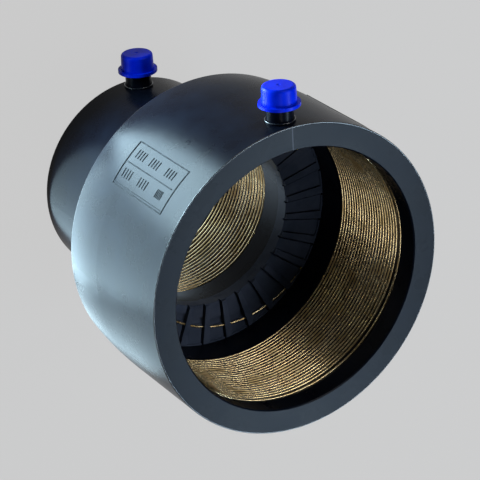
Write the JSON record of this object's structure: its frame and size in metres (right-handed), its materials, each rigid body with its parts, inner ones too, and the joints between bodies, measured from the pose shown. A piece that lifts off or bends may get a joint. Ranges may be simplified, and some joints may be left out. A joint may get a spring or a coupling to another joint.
{
  "type": "electrofusion reducing coupler",
  "caption": "Black plastic electrofusion reducer for pressure pipe: a wide socket and a narrow socket on one axis, wound heating wire in both bores and capped terminals.",
  "frame": {"origin": "centre of the small mouth, on the axis of both sockets", "axes": "+Z along the sockets' axis, from the small mouth to the large mouth; both terminals point along -Y"},
  "size_m": [0.191, 0.2123, 0.1909],
  "materials": {
    "black_polyethylene": "moulded, soft sheen",
    "resistance_wire": "drawn",
    "contact_brass": "turned",
    "blue_cap": "moulded, satin"
  },
  "bodies": {
    "root": {"coupler_body": "black_polyethylene", "heating_wire": "resistance_wire", "contact_pin_large": "contact_brass", "contact_pin_small": "contact_brass", "terminal_cap_large": "blue_cap", "terminal_cap_small": "blue_cap"}
  },
  "joints": []
}
